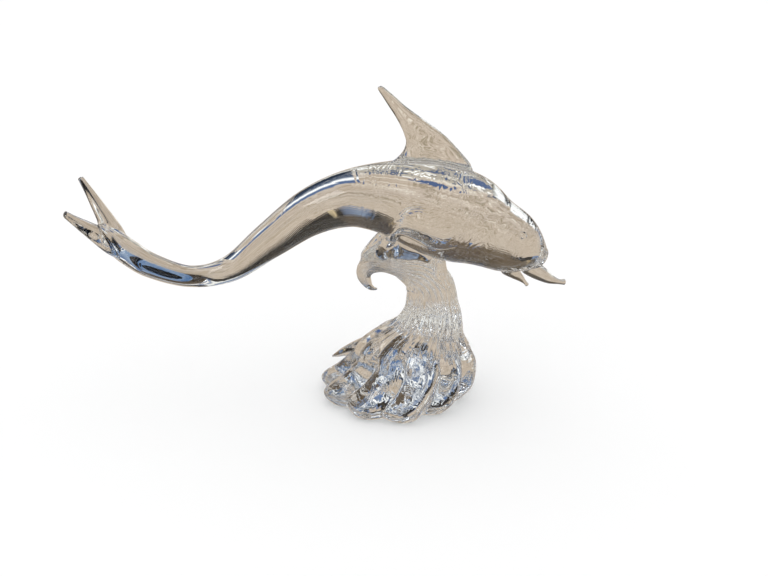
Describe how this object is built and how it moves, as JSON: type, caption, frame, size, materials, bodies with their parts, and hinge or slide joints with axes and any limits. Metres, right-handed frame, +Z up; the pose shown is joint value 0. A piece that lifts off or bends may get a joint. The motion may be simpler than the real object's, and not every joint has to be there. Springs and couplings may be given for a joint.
{
  "type": "glass dolphin sculpture",
  "caption": "Clear hot-worked glass ornament: a leaping dolphin fused at its belly and pectoral fins to a breaking wave with a fluted column, a curled crest and a lobed foot.",
  "frame": {"origin": "middle of the flat ground underside of the wave's foot, on the surface that it stands on", "axes": "+Z up, +X the way the dolphin's head points, +Y from the side that the picture shows towards the far side"},
  "size_m": [0.5157, 0.1801, 0.3351],
  "materials": {
    "glass": "clear, fire-polished, with faint cords"
  },
  "bodies": {
    "root": {"dolphin_on_wave": "glass"}
  },
  "joints": []
}
